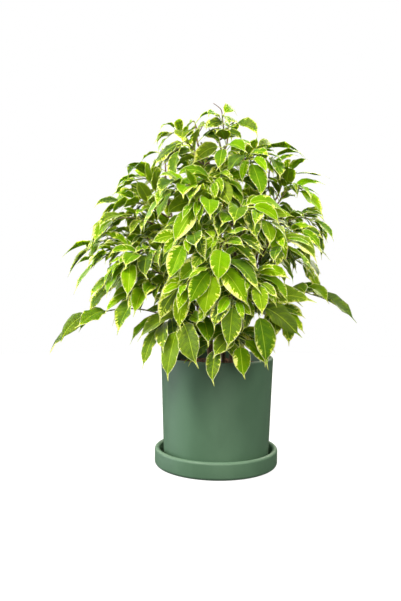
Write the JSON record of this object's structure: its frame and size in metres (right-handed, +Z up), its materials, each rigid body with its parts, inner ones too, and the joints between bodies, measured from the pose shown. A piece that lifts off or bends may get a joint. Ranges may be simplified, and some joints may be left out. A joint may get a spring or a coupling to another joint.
{
  "type": "potted weeping fig",
  "caption": "Small variegated weeping fig with arching leafy twigs, growing from slender stems in a straight-sided ceramic pot on a matching saucer.",
  "frame": {"origin": "centre of the saucer's flat underside, on the surface that the plant stands on", "axes": "+Z up along the pot's axis; -Y towards the plant's fuller front; +X to the right as seen from the front"},
  "size_m": [0.3967, 0.3064, 0.4807],
  "materials": {
    "ceramic": "matte",
    "potting_mix": "matte",
    "bark": "matte",
    "leaf": "satin"
  },
  "bodies": {
    "root": {"saucer": "ceramic", "pot": "ceramic", "potting_mix": "potting_mix", "stem_1": "bark", "stem_2": "bark", "stem_3": "bark", "stem_4": "bark", "stem_5": "bark", "stem_6": "bark", "leafy_twig_01": "leaf", "leafy_twig_02": "leaf", "leafy_twig_03": "leaf", "leafy_twig_04": "leaf", "leafy_twig_05": "leaf", "leafy_twig_06": "leaf", "leafy_twig_07": "leaf", "leafy_twig_08": "leaf", "leafy_twig_09": "leaf", "leafy_twig_10": "leaf", "leafy_twig_11": "leaf", "leafy_twig_12": "leaf", "leafy_twig_13": "leaf", "leafy_twig_14": "leaf", "leafy_twig_15": "leaf", "leafy_twig_16": "leaf", "leafy_twig_17": "leaf", "leafy_twig_18": "leaf", "leafy_twig_19": "leaf", "leafy_twig_20": "leaf", "leafy_twig_21": "leaf", "leafy_twig_22": "leaf", "leafy_twig_23": "leaf", "leafy_twig_24": "leaf", "leafy_twig_25": "leaf", "leafy_twig_26": "leaf", "leafy_twig_27": "leaf", "leafy_twig_28": "leaf", "leafy_twig_29": "leaf", "leafy_twig_30": "leaf", "leafy_twig_31": "leaf", "leafy_twig_32": "leaf", "leafy_twig_33": "leaf", "leafy_twig_34": "leaf", "leafy_twig_35": "leaf", "leafy_twig_36": "leaf", "leafy_twig_37": "leaf", "leafy_twig_38": "leaf", "leafy_twig_39": "leaf", "leafy_twig_40": "leaf", "leafy_twig_41": "leaf", "leafy_twig_42": "leaf", "leafy_twig_43": "leaf", "leafy_twig_44": "leaf", "leafy_twig_45": "leaf", "leafy_twig_46": "leaf", "leafy_twig_47": "leaf", "leafy_twig_48": "leaf", "leafy_twig_49": "leaf", "leafy_twig_50": "leaf", "leafy_twig_51": "leaf"}
  },
  "joints": []
}
